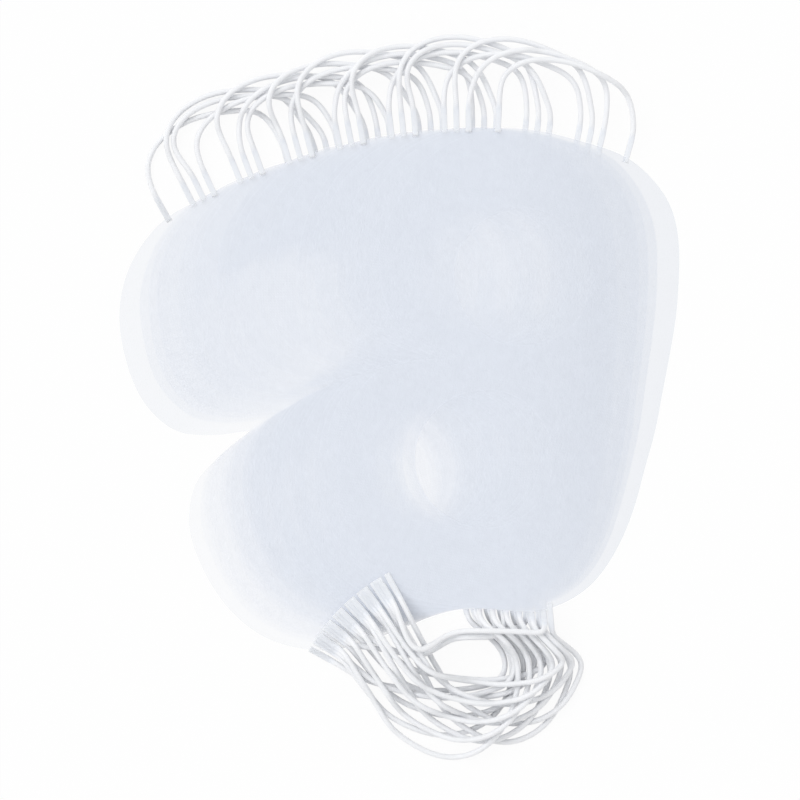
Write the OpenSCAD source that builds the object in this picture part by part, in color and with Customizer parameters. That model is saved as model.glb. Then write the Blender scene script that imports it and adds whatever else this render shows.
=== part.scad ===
// A fanned bundle of flat, two-lobed disposable face masks. Each mask is one die-cut
// nonwoven sheet with two openings and a nose notch, and carries a round elastic ear
// loop on each end. The masks lie on each other, turned step by step about a point
// inside the gathered lower loops. +Z is up, the lowest mask lies on Z = 0, and the
// origin is the middle of its bridge.

/* [Bundle] */
// Number of masks in the bundle
mask_count = 20; // [6:1:20]
// Angle from the first mask to the last
fan_spread = 32.3; // [20:0.1:36]
// Lean of the first mask, anticlockwise from +Y
first_lean = 20.3; // [10:0.1:30]
// Distance from the turning point to the middle of each mask
fan_radius = 171; // [160:1:185]
// Angle at a mask's middle between its centre line and the turning point
pivot_aside = 7.5; // [4:0.1:12]
// Share of an even step that the narrow steps of the fan take
narrow_step = 0.65; // [0.5:0.05:1]

/* [Mask sheet] */
// Length of a mask from one loop end to the other
mask_length = 216; // [190:1:230]
// Width of a mask across its lobes
mask_width = 139; // [130:1:150]
// Depth of the nose notch
notch_depth = 43; // [30:1:48]
// Thickness of a sheet
sheet_t = 0.5; // [0.3:0.05:0.6]
// Free space between two sheets
sheet_gap = 0.45; // [0.4:0.05:0.8]
// Diameter of the two openings
opening_d = 62; // [50:1:64]
// Width of the bridge between the two openings
bridge_w = 22; // [16:1:30]
// Offset of the openings towards the notch
opening_shift = 4; // [0:1:8]

/* [Ear loops] */
// Diameter of the elastic cord
cord_d = 2.5; // [1.6:0.1:2.8]
// Free space between cords where they cross
cord_gap = 0.45; // [0.3:0.05:0.6]
// Distance from the centre line to the notch-side end of an upper loop
upper_root_left = 29; // [24:1:34]
// Distance from the centre line to the other end of an upper loop
upper_root_right = 31; // [22:1:34]
// Distance from the centre line to the notch-side end of a lower loop
lower_root_left = 35; // [30:1:38]
// Distance from the centre line to the other end of a lower loop
lower_root_right = 38.9; // [30:0.1:40]
// Thickness of a cord's flattened end
tab_t = 0.5; // [0.3:0.05:0.6]
// Width of a cord's flattened end
tab_w = 2.8; // [2.6:0.1:4]
// Length that a flattened end is welded into its sheet
weld_l = 2; // [1:0.5:4]
// Free length of an upper loop's flattened end
upper_tab = 8; // [7:0.5:10]
// Free length of a lower loop's flattened end
lower_tab = 8; // [7:0.5:9]

/* [Hidden] */
pitch = sheet_t + sheet_gap;
half_w = mask_width / 2;
half_l = mask_length / 2;
pivot = fan_radius * [sin(first_lean + pivot_aside), -cos(first_lean + pivot_aside)];
far = 400;

// Every third step of the fan is wide, counted back from the last mask
function is_wide(k) = (mask_count - 1 - k) % 3 == 0;
wide_count = len([for (k = [1:mask_count - 1]) if (is_wide(k)) k]);
even_step = fan_spread / (mask_count - 1);
narrow = narrow_step * even_step;
wide = (fan_spread - narrow * (mask_count - 1 - wide_count)) / wide_count;
function turn(k) = k == 0 ? 0 : turn(k - 1) + (is_wide(k) ? wide : narrow);

// From a mask's own plan to the bundle's: p is measured from the middle of mask k
function turned(p, a) = [p.x * cos(a) - p.y * sin(a), p.x * sin(a) + p.y * cos(a)];
function placed(k, p) = pivot + turned(turned(p, first_lean) - pivot, -turn(k));

// Smooth open or closed curve through points, with n steps from one to the next
function knot(a, b, c, d, t) =
    b + (c - a) * t / 2 + (2 * a - 5 * b + 4 * c - d) * t * t / 2 + (3 * b - a - 3 * c + d) * t * t * t / 2;
function open_curve(p, n) = [
    for (i = [0:len(p) - 2], j = [0:n - 1])
        knot(p[max(i - 1, 0)], p[i], p[i + 1], p[min(i + 2, len(p) - 1)], j / n),
    p[len(p) - 1]
];
function closed_curve(p, n) = [
    for (i = [0:len(p) - 1], j = [0:n - 1])
        let (m = len(p))
        knot(p[(i + m - 1) % m], p[i], p[(i + 1) % m], p[(i + 2) % m], j / n)
];

// Upper half of the outline, from the notch round the lobe to the far side
half_outline = [
    [notch_depth - half_w, 0],
    [(0.6 * notch_depth) - half_w, 0.045 * half_l],
    [-0.85 * half_w, 0.12 * half_l],
    [-0.98 * half_w, 0.27 * half_l],
    [-half_w, 0.45 * half_l],
    [-0.94 * half_w, 0.65 * half_l],
    [-0.8 * half_w, 0.81 * half_l],
    [-0.6 * half_w, 0.92 * half_l],
    [-0.36 * half_w, 0.985 * half_l],
    [0, half_l],
    [0.36 * half_w, 0.985 * half_l],
    [0.6 * half_w, 0.93 * half_l],
    [0.79 * half_w, 0.82 * half_l],
    [0.91 * half_w, 0.66 * half_l],
    [0.97 * half_w, 0.45 * half_l],
    [half_w, 0.2 * half_l],
    [half_w, 0]
];
outline_knots = concat(
    half_outline,
    [for (i = [len(half_outline) - 2:-1:1]) [half_outline[i].x, -half_outline[i].y]]
);
outline = closed_curve(outline_knots, 2);

// Where the sheets begin to droop: just past the lowest mask, which lies flat
function right_edge(k) = max([for (p = outline) placed(k, p).x]);
droop_start = right_edge(0) + 1;
droop_blend = 50;
function droop_shape(x) =
    x < droop_start ? 0
    : x < droop_start + droop_blend ? pow(x - droop_start, 2) / (2 * droop_blend)
    : x - droop_start - droop_blend / 2;
droop_slope = 0.9 * min([
    for (k = [1:mask_count - 1])
        if (droop_shape(right_edge(k)) > 0) k * pitch / droop_shape(right_edge(k))
]);
function droop(x) = droop_slope * droop_shape(x);
droop_line = concat([-far], [for (i = [0:5]) droop_start + droop_blend * i / 5], [far]);

// Plan route of an upper loop, measured from the middle of the mask's upper edge
upper_route = [[-32, 27], [-24, 38], [-9, 43], [8, 41], [25, 33]];
// Plan routes of the lower loops, measured from the middle of the gathered ring. A deep loop
// goes round the ring's open middle, and a shallow one crosses between that and the sheets.
ring_middle = pivot + [-5, 39];
deep_route = [[-33, -9], [-21, -22], [2, -30], [22, -24], [33, -9]];
shallowest = 0.3;
deepest = 1.45;
ring_shift = [36, 12];
first_turn_in = [14, 4];
last_turn_in = [49, 1];
shallow_route = [[-25, 1], [-8, 9], [12, 10]];
shallow_share = 0.25;
shallow_spread = 16;

// Well-spread share from 0 to 1 for mask k, so that no two loops are alike
function spread_share(k, seed) = (k * 0.618 + seed) % 1;

function edge_y(x) = let (t = x / (0.36 * half_w)) half_l * (1 - 0.008 * t * t - 0.007 * pow(t, 4));
function upper_root(k, x) = placed(k, [x, edge_y(x)]);
function lower_root(k, x) = placed(k, [x, -edge_y(x)]);
function toward(a, b, d) = a + (b - a) * d / norm(b - a);
flare = 2 * cord_d;

// The middle stretch of a loop, between its flattened ends
function upper_middle(k) =
    let (grow = 0.75 + 0.25 * spread_share(k, 0.3), lean = 12 * (spread_share(k, 0.8) - 0.5))
    [for (p = upper_route) placed(k, [p.x + lean * p.y / 43, half_l + p.y * grow])];
function lower_middle(k) =
    let (
        share = spread_share(k, 0.1),
        depth = shallowest + (deepest - shallowest) * (share - shallow_share) / (1 - shallow_share),
        across = turn(k) / fan_spread,
        shift = ring_shift * (across - 0.5)
    )
    k > 0 && share < shallow_share
    ? [for (p = shallow_route) ring_middle + p + [0, shallow_spread * share]]
    : concat(
        [for (p = deep_route) ring_middle + [p.x, p.y * max(depth, shallowest)] + shift],
        [ring_middle + first_turn_in + (last_turn_in - first_turn_in) * across]
    );

// Plan points of a whole loop: weld, tab, round cord, tab, weld
function loop_plan(left, right, left_out, right_out, middle, tab, steps) = concat(
    [for (d = [-weld_l, tab]) toward(left, left_out, d)],
    open_curve(concat(
        [toward(left, left_out, tab + flare)], middle, [toward(right, right_out, tab + flare)]
    ), steps),
    [for (d = [tab, -weld_l]) toward(right, right_out, d)]
);
function upper_plan(k) = loop_plan(
    upper_root(k, -upper_root_left), upper_root(k, upper_root_right),
    placed(k, [-upper_root_left - 2, half_l + 10]), placed(k, [upper_root_right + 1, half_l + 10]),
    upper_middle(k), upper_tab, 3
);
function lower_plan(k) = loop_plan(
    lower_root(k, -lower_root_left), lower_root(k, lower_root_right),
    pivot, lower_root(k, lower_root_right) + [1, -10],
    lower_middle(k), lower_tab, 4
);

// A little more than the lower end of mask j, as a round-cornered curve
function own(j, p) = turned(pivot + turned(p - pivot, turn(j)), -first_lean);
function over_end(j, p) =
    let (q = own(j, p)) q.y > -(half_l + 4) * sqrt(max(0, 1 - pow(q.x / (half_w + 4), 4)));
function top_sheet(j, p) = j < 0 || over_end(j, p) ? j : top_sheet(j - 1, p);

// Heights: each loop rests on the surface, on the sheets below its own, or on the loops
// that were laid before it. The upper loops lie in the masks' own order. The lower ones
// lie in three passes: first the loops next to a wide step of the fan, then their
// neighbours, which lie on them.
steepest = 0.8;
samples = 4;
reach = cord_d + cord_gap;
near = 14;
function sampled(round) = concat(
    [for (i = [0:len(round) - 2], j = [0:samples - 1]) round[i] + (round[i + 1] - round[i]) * j / samples],
    [round[len(round) - 1]]
);
function flat(p) = [p.x, p.y];
function over_span(p, a, b) =
    let (
        run = flat(b - a),
        t = min(1, max(0, (p - flat(a)) * run / (run * run))),
        aside = norm(p - flat(a) - run * t)
    )
    aside < reach ? a.z + (b.z - a.z) * t + sqrt(reach * reach - aside * aside) : 0;
function rest_height(k, p, below) = max(concat(
    [cord_d / 2 + (let (j = top_sheet(k - 1, p)) j < 0 ? 0 : j * pitch + sheet_t + cord_gap / 2 - droop(p.x))],
    [
        for (path = below, i = [0:len(path) - 2])
            let (a = path[i])
            if (abs(a.x - p.x) < near && abs(a.y - p.y) < near) over_span(p, a, path[i + 1])
    ]
));
function lifted(k, plan, below) =
    let (
        n = len(plan),
        level = k * pitch + sheet_t / 2,
        need = [for (p = sampled([for (i = [2:n - 3]) plan[i]])) rest_height(k, p, below)],
        own = [
            for (i = [0:n - 1])
                i < 2 || i > n - 3 ? level - droop(plan[i].x)
                : max([for (s = [max(0, (i - 3) * samples):min(len(need) - 1, (i - 1) * samples)]) need[s]])
        ],
        along = [for (i = 0, d = 0; i < n; i = i + 1, d = i < n ? d + norm(plan[i] - plan[i - 1]) : d) d]
    )
    [
        for (i = [0:n - 1])
            let (z = i < 2 || i > n - 3 ? own[i]
                : max([for (j = [0:n - 1]) own[j] - steepest * abs(along[j] - along[i])]))
            [plan[i].x, plan[i].y, z]
    ];
function stacked(plans, order, last) =
    last < 0 ? [] :
    let (under = stacked(plans, order, last - 1), k = order[last])
    concat(under, [lifted(k, plans[k], under)]);
function path_of(k, plans, order) = let (last = search(k, order)[0]) stacked(plans, order, last)[last];

// Tube along a path, flat at both ends and round between
sides = 8;
function along_at(path, i) =
    let (d = path[min(i + 1, len(path) - 1)] - path[max(i - 1, 0)]) d / norm(d);
function tube_ring(path, i) =
    let (
        is_tab = i < 2 || i > len(path) - 3,
        w = is_tab ? tab_w / 2 : cord_d / 2,
        h = is_tab ? tab_t / 2 : cord_d / 2,
        d = along_at(path, i),
        across = [d.y, -d.x, 0] / norm([d.x, d.y]),
        up = is_tab ? [0, 0, 1] : cross(across, d)
    )
    [for (s = [0:sides - 1]) path[i] + across * w * cos(360 * s / sides) + up * h * sin(360 * s / sides)];
module tube(path) {
    n = len(path);
    points = [for (i = [0:n - 1]) each tube_ring(path, i)];
    walls = [
        for (i = [0:n - 2], s = [0:sides - 1])
            let (a = i * sides + s, b = i * sides + (s + 1) % sides)
            [a, b, b + sides, a + sides]
    ];
    first = [for (s = [sides - 1:-1:0]) s];
    last = [for (s = [0:sides - 1]) (n - 1) * sides + s];
    polyhedron(points, concat([first], walls, [last]), convexity = 6);
}

function two_digits(k) = k < 10 ? str("0", k) : str(k);
function mask_name(k) = str("mask_", two_digits(k + 1), "_sheet");
function upper_name(k) = str("mask_", two_digits(k + 1), "_upper_loop");
function lower_name(k) = str("mask_", two_digits(k + 1), "_lower_loop");

upper_plans = [for (k = [0:mask_count - 1]) upper_plan(k)];
lower_plans = [for (k = [0:mask_count - 1]) lower_plan(k)];
upper_order = [for (k = [0:mask_count - 1]) k];
function in_group(k) = k == 0 || is_wide(k) ? 0 : 1 + in_group(k - 1);
lower_order = [for (pass = [0:2], k = [0:mask_count - 1]) if (in_group(k) == pass) k];

module mask_plan() {
    difference() {
        polygon(outline);
        for (side = [-1, 1])
            translate([-opening_shift, side * (opening_d + bridge_w) / 2]) circle(d = opening_d, $fn = 48);
    }
}

module sheet_slab(k) {
    top = [for (x = droop_line) [x, k * pitch + sheet_t - droop(x)]];
    under = [for (i = [len(droop_line) - 1:-1:0]) [droop_line[i], k * pitch - droop(droop_line[i])]];
    translate([0, far, 0]) rotate([90, 0, 0]) linear_extrude(2 * far) polygon(concat(top, under));
}

module sheet(k) {
    color("aliceblue") intersection() {
        translate([pivot.x, pivot.y, -far]) rotate(-turn(k)) translate([-pivot.x, -pivot.y, 0])
            rotate(first_lean) linear_extrude(2 * far) mask_plan();
        sheet_slab(k);
    }
}

module upper_loop(k) {
    color("whitesmoke") tube(path_of(k, upper_plans, upper_order));
}

module lower_loop(k) {
    color("whitesmoke") tube(path_of(k, lower_plans, lower_order));
}

for (k = [0:mask_count - 1]) {
    sheet(k);
    upper_loop(k);
    lower_loop(k);
}
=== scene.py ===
import math
import random

import bmesh
import bpy
import numpy as np
from mathutils import Matrix, Vector


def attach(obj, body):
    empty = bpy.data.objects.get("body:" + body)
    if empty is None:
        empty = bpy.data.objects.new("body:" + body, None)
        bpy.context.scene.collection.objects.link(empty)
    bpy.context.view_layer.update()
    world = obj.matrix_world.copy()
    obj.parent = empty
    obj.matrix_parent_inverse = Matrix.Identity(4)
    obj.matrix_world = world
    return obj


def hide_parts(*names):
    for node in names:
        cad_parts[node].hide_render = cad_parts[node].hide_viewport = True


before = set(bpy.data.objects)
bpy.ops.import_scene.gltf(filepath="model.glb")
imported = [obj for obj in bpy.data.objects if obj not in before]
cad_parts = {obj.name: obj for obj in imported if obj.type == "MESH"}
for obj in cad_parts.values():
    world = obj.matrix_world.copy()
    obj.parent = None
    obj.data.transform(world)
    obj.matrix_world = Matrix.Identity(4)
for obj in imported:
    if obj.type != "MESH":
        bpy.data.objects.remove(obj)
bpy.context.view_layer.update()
print("frame: bundle of masks loaded")

# the camera looks straight down on the bundle
view = {"x": 0.0425, "y": 0.0055, "height": 1.5, "shows": 0.3656}
cameraData = bpy.data.cameras.new("topCamera")
cameraData.sensor_width = 36
cameraData.lens = 36 * view["height"] / view["shows"]
camera = bpy.data.objects.new("topCamera", cameraData)
camera.location = (view["x"], view["y"], view["height"])
bpy.context.scene.collection.objects.link(camera)
bpy.context.scene.camera = camera
bpy.context.scene.view_settings.view_transform = "Standard"

# the fan: masks turned step by step about a point inside the gathered lower loops
bundle = {
    "masks": 20,
    "spread": 32.3,       # degrees from the first mask to the last
    "firstLean": 20.3,    # degrees anticlockwise from +Y
    "radius": 0.171,      # from the turning point to the middle of a mask
    "aside": 7.5,
    "group": 3,           # masks that lie closer together
    "narrowStep": 0.65,   # share of an even step, within such a group
    "gap": 0.00045,       # free space between two sheets
}
masks = range(bundle["masks"])

mask = {
    "length": 0.216,
    "width": 0.139,
    "notch": 0.043,
    "thickness": 0.0005,
    "opening": 0.062,
    "bridge": 0.022,
    "openingShift": 0.004,
    "area": 0.02003,      # square metres of cloth, without the openings
}
halfWidth = mask["width"] / 2
halfLength = mask["length"] / 2
pitch = mask["thickness"] + bundle["gap"]


def turned(p, degrees):
    return Matrix.Rotation(math.radians(degrees), 2) @ Vector((p[0], p[1]))


turnAngle = math.radians(bundle["firstLean"] + bundle["aside"])
pivot = bundle["radius"] * Vector((math.sin(turnAngle), -math.cos(turnAngle)))


def isWide(k):
    return (bundle["masks"] - 1 - k) % bundle["group"] == 0


# the angle of each mask from the first
steps = bundle["masks"] - 1
wideSteps = sum(isWide(k) for k in masks if k > 0)
narrow = bundle["narrowStep"] * bundle["spread"] / steps
wide = (bundle["spread"] - narrow * (steps - wideSteps)) / wideSteps
turns = [0.0]
for k in range(1, bundle["masks"]):
    turns.append(turns[-1] + (wide if isWide(k) else narrow))


def placed(k, p):
    # from a mask's own plan to the bundle's
    return pivot + turned(turned(p, bundle["firstLean"]) - pivot, -turns[k])


def ownPlan(k, p):
    # from the bundle's plan back to the one of mask k
    return turned(pivot + turned(Vector((p[0], p[1])) - pivot, turns[k]), -bundle["firstLean"])


def knot(a, b, c, d, t):
    # a point on the smooth curve through four, between the second and the third
    return (
        b
        + (c - a) * t / 2
        + (2 * a - 5 * b + 4 * c - d) * t * t / 2
        + (3 * b - a - 3 * c + d) * t * t * t / 2
    )


def openCurve(points, n):
    last = len(points) - 1
    curve = []
    for i in range(last):
        a, b, c, d = (points[max(0, min(last, i + step))] for step in (-1, 0, 1, 2))
        curve += [knot(a, b, c, d, j / n) for j in range(n)]
    return curve + [points[last]]


def closedCurve(points, n):
    m = len(points)
    return [
        knot(points[i - 1], points[i], points[(i + 1) % m], points[(i + 2) % m], j / n)
        for i in range(m)
        for j in range(n)
    ]


# upper half of a mask's outline, from the notch round the lobe to the far side
lobe = [
    (mask["notch"] - halfWidth, 0),
    (0.6 * mask["notch"] - halfWidth, 0.045 * halfLength),
    (-0.85 * halfWidth, 0.12 * halfLength),
    (-0.98 * halfWidth, 0.27 * halfLength),
    (-halfWidth, 0.45 * halfLength),
    (-0.94 * halfWidth, 0.65 * halfLength),
    (-0.8 * halfWidth, 0.81 * halfLength),
    (-0.6 * halfWidth, 0.92 * halfLength),
    (-0.36 * halfWidth, 0.985 * halfLength),
    (0, halfLength),
    (0.36 * halfWidth, 0.985 * halfLength),
    (0.6 * halfWidth, 0.93 * halfLength),
    (0.79 * halfWidth, 0.82 * halfLength),
    (0.91 * halfWidth, 0.66 * halfLength),
    (0.97 * halfWidth, 0.45 * halfLength),
    (halfWidth, 0.2 * halfLength),
    (halfWidth, 0),
]
knots = [Vector(p) for p in lobe + [(x, -y) for x, y in lobe[-2:0:-1]]]

# the sheets droop to the floor past the lowest mask
droopLine = {"blend": 0.05, "share": 0.9}


def rightEdge(k):
    return max(placed(k, p).x for p in closedCurve(knots, 2))


droopStart = rightEdge(0) + 0.001


def droopShape(x):
    past = max(0.0, x - droopStart)
    if past < droopLine["blend"]:
        return past * past / (2 * droopLine["blend"])
    return past - droopLine["blend"] / 2


droopSlope = droopLine["share"] * min(
    k * pitch / droopShape(rightEdge(k)) for k in masks if k and droopShape(rightEdge(k)) > 0
)


def droop(x):
    return droopSlope * droopShape(x)


# the elastic ear loops, one on each end of a mask
loops = {
    "diameter": 0.0025,
    "gap": 0.00045,         # free space between two cords
    "tab": 0.008,           # length of the flat end beyond the sheet
    "tabWidth": 0.0028,
    "tabThickness": 0.0005,
    "weld": 0.002,          # length of the flat end on the sheet
    "upperRootLeft": 0.029,
    "upperRootRight": 0.031,
    "lowerRootLeft": 0.035,
    "lowerRootRight": 0.0389,
    "leastReach": 0.75,     # share of the upper route's height that the lowest loop has
    "upperLean": 0.012,
    "shallowest": 0.3,      # depth of the lower loops, as a share of the deep route's
    "deepest": 1.45,
    "steepest": 0.8,        # rise for each metre of cord
    "samples": 4,
    "near": 0.014,          # cords further away than this can't touch
    "edgeMargin": 0.004,
    "sides": 14,
}
flare = 2 * loops["diameter"]
tabAim = 0.01    # how far beyond the sheet's end a tab points
upperRoute = [(-0.032, 0.027), (-0.024, 0.038), (-0.009, 0.043), (0.008, 0.041), (0.025, 0.033)]
upperReach = max(y for x, y in upperRoute)

# the lower loops gather in a ring: deep ones go round its open middle, shallow ones cross above
ringMiddle = pivot + Vector((-0.005, 0.039))
deepRoute = [(-0.033, -0.009), (-0.021, -0.022), (0.002, -0.03), (0.022, -0.024), (0.033, -0.009)]
ringShift = Vector((0.036, 0.012))
firstTurnIn = Vector((0.014, 0.004))
lastTurnIn = Vector((0.049, 0.001))
shallowRoute = [(-0.025, 0.001), (-0.008, 0.009), (0.012, 0.01)]
shallowShare = 0.25
shallowSpread = 0.016


def spreadShare(k, seed):
    # an even scatter from 0 to 1, so that neighbours differ
    return (k * 0.618 + seed) % 1


def endEdge(x):
    # how far a mask's end reaches beside its middle line
    t = x / (0.36 * halfWidth)
    return halfLength * (1 - 0.008 * t * t - 0.007 * t**4)


def upperRoot(k, x):
    return placed(k, (x, endEdge(x)))


def lowerRoot(k, x):
    return placed(k, (x, -endEdge(x)))


def toward(a, b, distance):
    return a + (b - a) * distance / (b - a).length


def loopPlan(left, right, leftOut, rightOut, middle, n):
    ends = [-loops["weld"], loops["tab"]]
    start = toward(left, leftOut, loops["tab"] + flare)
    end = toward(right, rightOut, loops["tab"] + flare)
    return (
        [toward(left, leftOut, d) for d in ends]
        + openCurve([start] + middle + [end], n)
        + [toward(right, rightOut, d) for d in reversed(ends)]
    )


def upperPlan(k):
    grow = loops["leastReach"] + (1 - loops["leastReach"]) * spreadShare(k, 0.3)
    lean = loops["upperLean"] * (spreadShare(k, 0.8) - 0.5) / upperReach
    middle = [placed(k, (x + lean * y, halfLength + y * grow)) for x, y in upperRoute]
    return loopPlan(
        upperRoot(k, -loops["upperRootLeft"]),
        upperRoot(k, loops["upperRootRight"]),
        placed(k, (-loops["upperRootLeft"] - 0.002, halfLength + tabAim)),
        placed(k, (loops["upperRootRight"] + 0.001, halfLength + tabAim)),
        middle,
        3,
    )


def lowerPlan(k):
    share = spreadShare(k, 0.1)
    across = turns[k] / bundle["spread"]
    if k and share < shallowShare:
        middle = [ringMiddle + Vector((x, y + shallowSpread * share)) for x, y in shallowRoute]
    else:
        deeper = max(0.0, (share - shallowShare) / (1 - shallowShare))
        depth = loops["shallowest"] + (loops["deepest"] - loops["shallowest"]) * deeper
        shift = ringShift * (across - 0.5)
        middle = [ringMiddle + Vector((x, y * depth)) + shift for x, y in deepRoute]
        middle.append(ringMiddle + firstTurnIn + (lastTurnIn - firstTurnIn) * across)
    right = lowerRoot(k, loops["lowerRootRight"])
    return loopPlan(
        lowerRoot(k, -loops["lowerRootLeft"]),
        right,
        pivot,
        right + Vector((0.001, -tabAim)),
        middle,
        4,
    )


def topSheet(k, p):
    # the highest of the masks 0 to k whose lower end lies under a point
    for j in range(k, -1, -1):
        q = ownPlan(j, p)
        across = 1 - (q.x / (halfWidth + loops["edgeMargin"])) ** 4
        if q.y > -(halfLength + loops["edgeMargin"]) * math.sqrt(max(0.0, across)):
            return j
    return -1


def restHeight(k, p, starts, runs):
    # a cord rests on the floor, on a sheet below its own, or on the cords laid before
    j = topSheet(k - 1, p)
    height = loops["diameter"] / 2
    if j >= 0:
        height += j * pitch + mask["thickness"] + loops["gap"] / 2 - droop(p.x)
    if len(starts):
        reach = loops["diameter"] + loops["gap"]
        offset = np.array((p.x, p.y)) - starts[:, :2]
        near = (np.abs(offset) < loops["near"]).all(axis=1)
        offset, run, low = offset[near], runs[near], starts[near, 2]
        share = ((offset * run[:, :2]).sum(1) / (run[:, :2] ** 2).sum(1)).clip(0, 1)
        aside = np.linalg.norm(offset - run[:, :2] * share[:, None], axis=1)
        under = aside < reach
        if under.any():
            over = low + run[:, 2] * share + np.sqrt(np.maximum(reach**2 - aside**2, 0))
            height = max(height, float(over[under].max()))
    return height


def lifted(k, plan, laid):
    # a loop's plan with heights: on the sheet at both tabs, and over what lies below between them
    n = len(plan)
    level = k * pitch + mask["thickness"] / 2
    starts = np.concatenate([path[:-1] for path in laid]) if laid else np.zeros((0, 3))
    runs = np.concatenate([path[1:] - path[:-1] for path in laid]) if laid else starts
    free = plan[2 : n - 2]
    between = loops["samples"]
    sampled = [a.lerp(b, j / between) for a, b in zip(free, free[1:]) for j in range(between)]
    need = [restHeight(k, p, starts, runs) for p in sampled + [free[-1]]]
    own = []
    for i in range(n):
        if i < 2 or i > n - 3:
            own.append(level - droop(plan[i].x))
        else:
            first, last = max(0, (i - 3) * between), min(len(need) - 1, (i - 1) * between)
            own.append(max(need[first : last + 1]))
    along = np.cumsum([0.0] + [(plan[i] - plan[i - 1]).length for i in range(1, n)])
    path = []
    for i in range(n):
        z = own[i]
        if 2 <= i <= n - 3:
            z = float((np.array(own) - loops["steepest"] * np.abs(along - along[i])).max())
        path.append((plan[i].x, plan[i].y, z))
    return np.array(path)


def laidPaths(plans, order):
    laid, paths = [], {}
    for k in order:
        paths[k] = lifted(k, plans[k], laid)
        laid.append(paths[k])
    return paths


def inGroup(k):
    # a mask's place among those that lie close together
    return 0 if k == 0 or isWide(k) else 1 + inGroup(k - 1)


upperPaths = laidPaths([upperPlan(k) for k in masks], list(masks))
lowerPaths = laidPaths([lowerPlan(k) for k in masks], sorted(masks, key=lambda k: (inGroup(k), k)))

# how softly a cord follows its route
softness = {"step": 0.0012, "plan": 0.0038, "height": 0.0015, "leastRound": 0.12}


def rounded(values, spread):
    # a running mean that leaves both ends and straight runs where they are
    reach = int(3 * spread / softness["step"]) + 1
    shares = np.exp(-0.5 * (np.arange(-reach, reach + 1) * softness["step"] / spread) ** 2)
    before = 2 * values[0] - values[reach:0:-1]
    after = 2 * values[-1] - values[-2 : -reach - 2 : -1]
    return np.convolve(np.concatenate([before, values, after]), shares / shares.sum(), mode="valid")


def softened(path):
    # evenly spaced points along a route, with its corners rounded
    fine = 4
    plan = openCurve([Vector(p[:2]) for p in path], fine)
    heights = np.interp(np.arange(len(plan)) / fine, np.arange(len(path)), path[:, 2])
    route = np.column_stack([np.array([p[:] for p in plan]), heights])
    along = np.concatenate([[0.0], np.cumsum(np.linalg.norm(np.diff(route, axis=0), axis=1))])
    places = np.linspace(0, along[-1], round(along[-1] / softness["step"]) + 1)
    x, y, z = (np.interp(places, along, route[:, i]) for i in range(3))
    x, y = rounded(x, softness["plan"]), rounded(y, softness["plan"])
    return [Vector(point) for point in zip(x, y, rounded(z, softness["height"]))]


def linked(name, bm):
    # a finished mesh as an object in the scene
    mesh = bpy.data.meshes.new(name)
    bm.to_mesh(mesh)
    bm.free()
    piece = bpy.data.objects.new(name, mesh)
    bpy.context.scene.collection.objects.link(piece)
    return piece


def elasticLoop(name, path):
    # a round cord along its path, pressed flat at both welded ends
    points = softened(path)
    along = np.cumsum([0.0] + [(b - a).length for a, b in zip(points, points[1:])])
    flatEnd = loops["weld"] + loops["tab"]
    bm = bmesh.new()
    around = bm.verts.layers.float.new("around")
    onward = bm.verts.layers.float.new("onward")
    welded = bm.verts.layers.float.new("welded")
    ring = bmesh.ops.create_circle(bm, segments=loops["sides"], radius=1.0)["verts"]
    for vert in ring:
        vert[around] = math.atan2(vert.co.y, vert.co.x) / math.tau % 1
    edges = list({edge for vert in ring for edge in vert.link_edges})
    firstEdges, before = edges, Matrix.Identity(4)
    for i, point in enumerate(points):
        heading = (points[min(i + 1, len(points) - 1)] - points[max(i - 1, 0)]).normalized()
        across = Vector((heading.y, -heading.x, 0)).normalized()
        up = across.cross(heading)
        fromEnd = min(along[i], along[-1] - along[i])
        roundness = min(1.0, max(0.0, (fromEnd - flatEnd) / flare + softness["leastRound"]))
        roundness = roundness * roundness * (3 - 2 * roundness)
        wideness = loops["tabWidth"] + (loops["diameter"] - loops["tabWidth"]) * roundness
        highness = loops["tabThickness"] + (loops["diameter"] - loops["tabThickness"]) * roundness
        place = Matrix((across * wideness / 2, up * highness / 2, heading)).transposed().to_4x4()
        place.translation = point
        if i:
            grown = bmesh.ops.extrude_edge_only(bm, edges=edges)["geom"]
            ring = [g for g in grown if isinstance(g, bmesh.types.BMVert)]
            edges = [g for g in grown if isinstance(g, bmesh.types.BMEdge)]
            edges = [e for e in edges if all(v in ring for v in e.verts)]
        bmesh.ops.transform(bm, matrix=place @ before.inverted(), verts=ring)
        for vert in ring:
            vert[onward] = along[i]
            vert[welded] = 1 - roundness
        before = place
    bmesh.ops.edgeloop_fill(bm, edges=firstEdges)
    bmesh.ops.edgeloop_fill(bm, edges=edges)
    bmesh.ops.recalc_face_normals(bm, faces=bm.faces[:])
    uvLayer = bm.loops.layers.uv.new("cord")
    for face in bm.faces:
        face.smooth = len(face.verts) == 4
        wraps = max(v[around] for v in face.verts) - min(v[around] for v in face.verts) > 0.5
        for corner in face.loops:
            u = corner.vert[around]
            if wraps and u < 0.5:
                u += 1
            corner[uvLayer].uv = (u, corner.vert[onward])
    return linked(name, bm), points, float(along[-1])


loopPieces = []
for k in masks:
    number = f"{k + 1:02d}"
    for end, paths in (("upper", upperPaths), ("lower", lowerPaths)):
        piece, points, cordLength = elasticLoop(f"earLoop_{end}_{number}", paths[k])
        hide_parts(f"mask_{number}_{end}_loop")
        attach(piece, f"mask_{number}")
        loopPieces.append(piece)
print(f"ear loops: {len(loopPieces)} cords laid")

# one die-cut blank, shared by all masks before each is placed
blank = {"curveSteps": 6, "openingSides": 96, "cell": 0.004, "rim": 0.0009}
openingOffset = (mask["opening"] + mask["bridge"]) / 2


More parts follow.
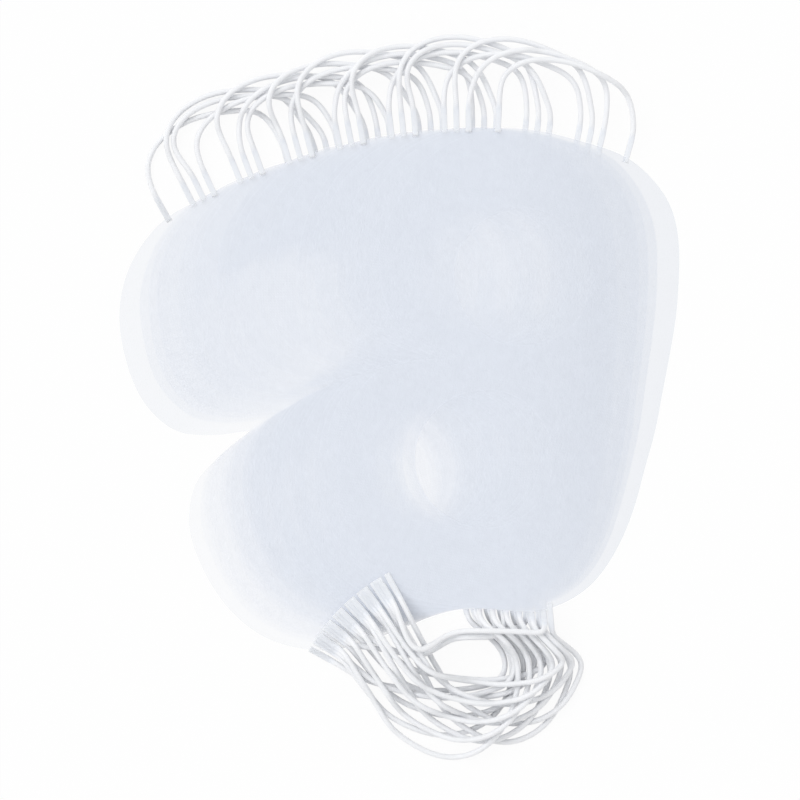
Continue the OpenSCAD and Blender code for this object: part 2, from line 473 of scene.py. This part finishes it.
def dieCutBlank():
    bm = bmesh.new()
    corners = [bm.verts.new((p.x, p.y, 0)) for p in closedCurve(knots, blank["curveSteps"])]
    for a, b in zip(corners, corners[1:] + corners[:1]):
        bm.edges.new((a, b))
    for side in (-1, 1):
        middle = Matrix.Translation((-mask["openingShift"], side * openingOffset, 0))
        bmesh.ops.create_circle(
            bm, segments=blank["openingSides"], radius=mask["opening"] / 2, matrix=middle
        )
    bmesh.ops.triangle_fill(bm, edges=bm.edges[:], use_beauty=True, use_dissolve=False)
    bmesh.ops.recalc_face_normals(bm, faces=bm.faces[:])
    if sum(face.normal.z for face in bm.faces) < 0:
        bmesh.ops.reverse_faces(bm, faces=bm.faces[:])
    rim = bm.verts.layers.float.new("rim")
    bmesh.ops.inset_region(
        bm, faces=bm.faces[:], thickness=blank["rim"], use_boundary=True, use_even_offset=True
    )
    for vert in bm.verts:
        vert[rim] = 1.0 if vert.is_boundary else 0.0
    for axis, half in ((0, halfWidth), (1, halfLength)):
        normal = Vector((axis == 0, axis == 1, 0))
        for i in range(int(-half / blank["cell"]), int(half / blank["cell"]) + 1):
            bmesh.ops.bisect_plane(
                bm,
                geom=bm.verts[:] + bm.edges[:] + bm.faces[:],
                dist=0.00002,
                plane_co=normal * i * blank["cell"],
                plane_no=normal,
            )
    return bm


blankMesh = dieCutBlank()
plan = np.array([vert.co[:2] for vert in blankMesh.verts])
outline = np.array([p[:] for p in closedCurve(knots, 2)])
print(f"blank: {len(blankMesh.faces)} faces cut")


def insideMask(points):
    # which points of a mask's own plan lie on its sheet
    x, y = points[:, 0], points[:, 1]
    inside = np.zeros(len(points), bool)
    for (ax, ay), (bx, by) in zip(outline, np.roll(outline, -1, axis=0)):
        crosses = (ay > y) != (by > y)
        if ay != by:
            inside ^= crosses & (x < ax + (y - ay) * (bx - ax) / (by - ay))
    for side in (-1, 1):
        away = np.hypot(x + mask["openingShift"], y - side * openingOffset)
        inside &= away > mask["opening"] / 2
    return inside


def rotated(points, degrees):
    a = math.radians(degrees)
    return points @ np.array([[math.cos(a), math.sin(a)], [-math.sin(a), math.cos(a)]])


centre = np.array(pivot[:])


def toBundle(k, points):
    return centre + rotated(rotated(points, bundle["firstLean"]) - centre, -turns[k])


def toMask(k, points):
    return rotated(centre + rotated(points - centre, turns[k]), -bundle["firstLean"])


ripple = {"height": 0.00016, "sway": 0.0005, "waves": 5, "calm": 2.2, "seed": 100}

# how the tone and the cover of the cloth build up in the stack; the tone is painted light: the cloth is
# painted paler where few masks lie below it, standing in for the pale floor's light shining through, and
# painted fuller where many lie below
stack = {
    "thin": 3,              # masks below that still leave the cloth looking white
    "thick": 7,             # masks below from which it has its full tone
    "highFrom": 11,         # masks above this one look full whatever lies below
    "highTo": 16,
    "endTone": 0.6,         # least tone of the end that points away from the gathered loops
    "endCover": 0.5,
    "endFrom": -0.005,      # along a mask from its middle
    "endTo": 0.015,
    "shadowFrom": (0, 7, 13, 19),   # four sheets shade for all, as the cloth passes nearly all light
}


def rippled(points, shuffle):
    # low, uneven waves in the cloth and a slight sway of its cut edge
    lift = np.zeros(len(points))
    sway = np.zeros_like(points)
    for _ in range(ripple["waves"]):
        a, length, phase = shuffle.uniform(0, math.pi), shuffle.uniform(0.025, 0.08), shuffle.uniform(0, 7)
        wave = np.sin((points @ (math.cos(a), math.sin(a))) * math.tau / length + phase)
        lift += wave * shuffle.uniform(0.4, 1)
        sway += wave[:, None] * np.array((-math.sin(a), math.cos(a))) * shuffle.uniform(-1, 1)
    return lift * ripple["height"] / ripple["calm"], sway * ripple["sway"] / ripple["calm"]


sheetPieces = []
for k in masks:
    number = f"{k + 1:02d}"
    shuffle = random.Random(ripple["seed"] + k)
    lift, sway = rippled(plan, shuffle)
    spread = toBundle(k, plan + sway)
    below = sum((insideMask(toMask(j, spread)) for j in range(k)), np.zeros(len(plan)))
    level = k * pitch + mask["thickness"] / 2
    # painted light: the colour runs from pale, where few masks lie below, to full; masks high in the stack
    # are painted fuller whatever lies below them, standing in for less floor light reaching them, and the
    # end away from the gathered loops keeps at least a share of the full colour
    high = (k - stack["highFrom"]) / (stack["highTo"] - stack["highFrom"])
    farEnd = ((plan[:, 1] - stack["endFrom"]) / (stack["endTo"] - stack["endFrom"])).clip(0, 1)
    paintedStackShade = ((below - stack["thin"]) / (stack["thick"] - stack["thin"])).clip(max(0, min(1, high)), 1)
    paintedStackShade = np.maximum(paintedStackShade, farEnd * stack["endTone"])
    cover = np.maximum(farEnd * stack["endCover"], (k / steps) ** 2)
    bm = blankMesh.copy()
    paintedShadeLayer = bm.verts.layers.float.new("paintedStackShade")
    coverLayer = bm.verts.layers.float.new("cover")
    uvLayer = bm.loops.layers.uv.new("cloth")
    shift = Vector((shuffle.uniform(0, 2), shuffle.uniform(0, 2)))
    for face in bm.faces:
        face.smooth = True
        for corner in face.loops:
            corner[uvLayer].uv = corner.vert.co.xy + shift
    for i, vert in enumerate(bm.verts):
        vert[paintedShadeLayer] = paintedStackShade[i]
        vert[coverLayer] = cover[i]
        vert.co = (spread[i][0], spread[i][1], level + lift[i] - droop(spread[i][0]))
    piece = linked(f"sheet_{number}", bm)
    shades = k in stack["shadowFrom"]
    piece.visible_shadow = piece.visible_diffuse = piece.visible_glossy = shades
    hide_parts(f"mask_{number}_sheet")
    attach(piece, f"mask_{number}")
    sheetPieces.append(piece)
blankMesh.free()
print(f"sheets: {len(sheetPieces)} laid in the fan")


def newMaterial(name):
    material = bpy.data.materials.new(name)
    material.use_nodes = True
    nodes = material.node_tree.nodes
    return material, nodes, material.node_tree.links, nodes["Principled BSDF"]


def mathNode(nodes, links, operation, a, b=0.0):
    node = nodes.new("ShaderNodeMath")
    node.operation = operation
    for socket, value in ((node.inputs[0], a), (node.inputs[1], b)):
        if isinstance(value, (int, float)):
            socket.default_value = value
        else:
            links.new(value, socket)
    return node.outputs[0]


def attributeOf(nodes, name):
    node = nodes.new("ShaderNodeAttribute")
    node.attribute_name = name
    return node.outputs["Fac"]


def raised(nodes, links, shader, height, strength, distance):
    bump = nodes.new("ShaderNodeBump")
    bump.inputs["Strength"].default_value = strength
    bump.inputs["Distance"].default_value = distance
    links.new(height, bump.inputs["Height"])
    links.new(bump.outputs["Normal"], shader.inputs["Normal"])


def blended(nodes, links, factor, colourA, colourB):
    node = nodes.new("ShaderNodeMix")
    node.data_type = "RGBA"
    links.new(factor, node.inputs["Factor"])
    for socket, value in ((node.inputs["A"], colourA), (node.inputs["B"], colourB)):
        if isinstance(value, tuple):
            socket.default_value = value
        else:
            links.new(value, socket)
    return node.outputs["Result"]


# spunbond web: fine crossing fibres, cloudy thick and thin places and rows of small bond points
spunbond = {
    "clouds": 150,
    "fibres": 1500,
    "fibreTurns": (0.5, 1.6, 2.7),
    "fibreStretch": 0.12,
    "bonds": 800,
    "bondScatter": 0.15,
    "bondEdge": (0.18, 0.32),
    "cloudShare": 0.7,
}


def clothWeb():
    group = bpy.data.node_groups.new("spunbondWeb", "ShaderNodeTree")
    face = group.interface
    face.new_socket("Vector", in_out="INPUT", socket_type="NodeSocketVector")
    for name in ("Clouds", "Fibres", "Bonds"):
        socket = face.new_socket(name, in_out="INPUT", socket_type="NodeSocketFloat")
        socket.default_value = spunbond[name.lower()]
    face.new_socket("Web", in_out="OUTPUT", socket_type="NodeSocketFloat")
    face.new_socket("Height", in_out="OUTPUT", socket_type="NodeSocketFloat")
    nodes, links = group.nodes, group.links
    inputs, outputs = nodes.new("NodeGroupInput"), nodes.new("NodeGroupOutput")
    clouds = nodes.new("ShaderNodeTexNoise")
    clouds.inputs["Detail"].default_value = 3
    links.new(inputs.outputs["Vector"], clouds.inputs["Vector"])
    links.new(inputs.outputs["Clouds"], clouds.inputs["Scale"])
    fibreHeights = []
    for angle in spunbond["fibreTurns"]:
        stretch = nodes.new("ShaderNodeMapping")
        stretch.inputs["Rotation"].default_value = (0, 0, angle)
        stretch.inputs["Scale"].default_value = (1, spunbond["fibreStretch"], 1)
        links.new(inputs.outputs["Vector"], stretch.inputs["Vector"])
        fibre = nodes.new("ShaderNodeTexNoise")
        fibre.inputs["Detail"].default_value = 2
        fibre.inputs["Distortion"].default_value = 0.4
        links.new(stretch.outputs["Vector"], fibre.inputs["Vector"])
        links.new(inputs.outputs["Fibres"], fibre.inputs["Scale"])
        fibreHeights.append(fibre.outputs["Fac"])
    fibres = mathNode(nodes, links, "MAXIMUM", fibreHeights[0], fibreHeights[1])
    fibres = mathNode(nodes, links, "MAXIMUM", fibres, fibreHeights[2])
    bonds = nodes.new("ShaderNodeTexVoronoi")
    bonds.inputs["Randomness"].default_value = spunbond["bondScatter"]
    links.new(inputs.outputs["Vector"], bonds.inputs["Vector"])
    links.new(inputs.outputs["Bonds"], bonds.inputs["Scale"])
    dots = nodes.new("ShaderNodeMapRange")
    dots.inputs["From Min"].default_value, dots.inputs["From Max"].default_value = spunbond["bondEdge"]
    links.new(bonds.outputs["Distance"], dots.inputs["Value"])
    cloudy = mathNode(nodes, links, "MULTIPLY", clouds.outputs["Fac"], spunbond["cloudShare"])
    fibrous = mathNode(nodes, links, "MULTIPLY", fibres, 1 - spunbond["cloudShare"])
    links.new(mathNode(nodes, links, "ADD", cloudy, fibrous), outputs.inputs["Web"])
    height = mathNode(nodes, links, "MULTIPLY", fibres, dots.outputs["Result"])
    links.new(height, outputs.inputs["Height"])
    return group


cloth = {
    # painted light: "shallow" is the pale colour painted where few masks lie below, standing in for floor
    # light shining through the cloth, and "deep" the full colour of cloth with many masks below
    "deep": (0.745, 0.785, 0.865, 1),
    "shallow": (0.86, 0.88, 0.93, 1),
    "oneLayer": 0.31,        # share of what is behind that the lowest sheet hides
    "topLayer": 0.44,        # and the topmost, which lies off the pale floor
    "fullDepth": 7.0,        # sheets that together hide all
    "rimCover": 0.02,
    "toLamps": 0.04,         # nonwoven passes nearly all light on
    "webRange": (0.3, 0.7),
    "mottle": (0.975, 1.02),
    "roughness": 0.85,
    "gloss": 0.3,
    "bump": 0.25,
    "fibreHeight": 0.0003,
}


def nonwovenMaterial():
    material, nodes, links, shader = newMaterial("nonwovenWhiteBlue")
    position = nodes.new("ShaderNodeUVMap")
    position.uv_map = "cloth"
    web = nodes.new("ShaderNodeGroup")
    web.node_tree = clothWeb()
    links.new(position.outputs["UV"], web.inputs["Vector"])
    mottle = nodes.new("ShaderNodeMapRange")
    mottle.inputs["From Min"].default_value, mottle.inputs["From Max"].default_value = cloth["webRange"]
    mottle.inputs["To Min"].default_value, mottle.inputs["To Max"].default_value = cloth["mottle"]
    links.new(web.outputs["Web"], mottle.inputs["Value"])
    shade = nodes.new("ShaderNodeVectorMath")
    shade.operation = "SCALE"
    # painted light: the colour is blended from pale to full by the painted stack shade that each sheet
    # carries
    paintedStackShade = blended(nodes, links, attributeOf(nodes, "paintedStackShade"), cloth["shallow"], cloth["deep"])
    links.new(paintedStackShade, shade.inputs[0])
    links.new(mottle.outputs["Result"], shade.inputs["Scale"])
    links.new(shade.outputs["Vector"], shader.inputs["Base Color"])
    # the first layer hides a little, and the layers under it together hide all
    light = nodes.new("ShaderNodeLightPath")
    depth = mathNode(nodes, links, "DIVIDE", light.outputs["Transparent Depth"], cloth["fullDepth"])
    depth = mathNode(nodes, links, "POWER", depth, 3.0)
    extra = cloth["topLayer"] - cloth["oneLayer"]
    ownShare = mathNode(nodes, links, "MULTIPLY", attributeOf(nodes, "cover"), extra)
    ownShare = mathNode(nodes, links, "ADD", ownShare, cloth["oneLayer"])
    edge = mathNode(nodes, links, "MULTIPLY", attributeOf(nodes, "rim"), cloth["rimCover"])
    hides = mathNode(nodes, links, "ADD", mathNode(nodes, links, "ADD", depth, ownShare), edge)
    hides = mathNode(nodes, links, "MULTIPLY", hides, mottle.outputs["Result"])
    seen = nodes.new("ShaderNodeMix")
    seen.inputs["A"].default_value = cloth["toLamps"]
    links.new(light.outputs["Is Camera Ray"], seen.inputs["Factor"])
    links.new(hides, seen.inputs["B"])
    links.new(mathNode(nodes, links, "MINIMUM", seen.outputs["Result"], 1.0), shader.inputs["Alpha"])
    raised(nodes, links, shader, web.outputs["Height"], cloth["bump"], cloth["fibreHeight"])
    shader.inputs["Roughness"].default_value = cloth["roughness"]
    shader.inputs["Specular IOR Level"].default_value = cloth["gloss"]
    return material


elastic = {
    "colour": (0.89, 0.9, 0.925, 1),
    # painted shade: the cord's colour is darkened in the valleys between the knit's ribs
    "paintedRibShade": 0.95,         # share of the colour left between the knit's ribs
    "weldTone": (0.80, 0.83, 0.89, 1),
    "rib": 0.0009,          # from one stitch to the next along the cord
    "strands": 3,           # stitches round the cord
    "bump": 0.3,
    "ribHeight": 0.0002,
    "roughness": 0.8,
    "gloss": 0.25,
    "glowThrough": 0.7,     # share of the light that spreads inside the white cord
    "glowReach": 0.0012,
}


def elasticMaterial():
    material, nodes, links, shader = newMaterial("elasticKnitWhite")
    position = nodes.new("ShaderNodeUVMap")
    position.uv_map = "cord"
    parts = nodes.new("ShaderNodeSeparateXYZ")
    links.new(position.outputs["UV"], parts.inputs["Vector"])
    along = mathNode(nodes, links, "MULTIPLY", parts.outputs["Y"], math.tau / elastic["rib"])
    around = mathNode(nodes, links, "MULTIPLY", parts.outputs["X"], math.tau * elastic["strands"])
    left = mathNode(nodes, links, "SINE", mathNode(nodes, links, "ADD", along, around))
    right = mathNode(nodes, links, "SINE", mathNode(nodes, links, "SUBTRACT", along, around))
    knit = mathNode(nodes, links, "MULTIPLY_ADD", mathNode(nodes, links, "MAXIMUM", left, right), 0.5)
    knit.node.inputs[2].default_value = 0.5
    # painted shade: the cord's colour is darker between the knit's ribs
    paintedRibShade = tuple(elastic["paintedRibShade"] * c for c in elastic["colour"][:3]) + (1,)
    cord = blended(nodes, links, knit, paintedRibShade, elastic["colour"])
    colour = blended(nodes, links, attributeOf(nodes, "welded"), cord, elastic["weldTone"])
    links.new(colour, shader.inputs["Base Color"])
    raised(nodes, links, shader, knit, elastic["bump"], elastic["ribHeight"])
    shader.inputs["Roughness"].default_value = elastic["roughness"]
    shader.inputs["Specular IOR Level"].default_value = elastic["gloss"]
    shader.inputs["Subsurface Weight"].default_value = elastic["glowThrough"]
    shader.inputs["Subsurface Radius"].default_value = (1, 1, 1)
    shader.inputs["Subsurface Scale"].default_value = elastic["glowReach"]
    return material


clothFinish, cordFinish = nonwovenMaterial(), elasticMaterial()
for piece in sheetPieces:
    piece.data.materials.append(clothFinish)
for piece in loopPieces:
    piece.data.materials.append(cordFinish)
print("materials: nonwoven cloth and knitted elastic")

# pale floor that the camera sees as white, with a faint shadow
floor = {"size": 4.0, "level": -0.0002, "colour": (0.9, 0.9, 0.9, 1), "glow": 0.93}


def paleFloor():
    bm = bmesh.new()
    bmesh.ops.create_grid(bm, x_segments=2, y_segments=2, size=floor["size"] / 2)
    bmesh.ops.translate(bm, verts=bm.verts[:], vec=(0, 0, floor["level"]))
    ground = linked("floor", bm)
    material, nodes, links, shader = newMaterial("paleFloor")
    shader.inputs["Base Color"].default_value = floor["colour"]
    shader.inputs["Roughness"].default_value = 1.0
    shader.inputs["Specular IOR Level"].default_value = 0.0
    glow = nodes.new("ShaderNodeEmission")
    light = nodes.new("ShaderNodeLightPath")
    mix = nodes.new("ShaderNodeMixShader")
    seen = mathNode(nodes, links, "MULTIPLY", light.outputs["Is Camera Ray"], floor["glow"])
    links.new(seen, mix.inputs["Fac"])
    links.new(shader.outputs["BSDF"], mix.inputs[1])
    links.new(glow.outputs["Emission"], mix.inputs[2])
    links.new(mix.outputs["Shader"], nodes["Material Output"].inputs["Surface"])
    ground.data.materials.append(material)
    return ground


paleFloor()

# soft daylight from all round and a wide lamp high on the left
daylight = {"sky": 0.72, "lamp": 1.1, "softness": 40, "fromLeft": 35, "turn": 35}
world = bpy.data.worlds.new("softSky")
bpy.context.scene.world = world
world.use_nodes = True
sky = world.node_tree.nodes["Background"]
sky.inputs["Color"].default_value = (1, 1, 1, 1)
sky.inputs["Strength"].default_value = daylight["sky"]
lampData = bpy.data.lights.new("wideLamp", "SUN")
lampData.energy = daylight["lamp"]
lampData.angle = math.radians(daylight["softness"])
lamp = bpy.data.objects.new("wideLamp", lampData)
lamp.rotation_euler = (0, math.radians(-daylight["fromLeft"]), math.radians(-daylight["turn"]))
bpy.context.scene.collection.objects.link(lamp)
print("stage: floor, sky and lamp")
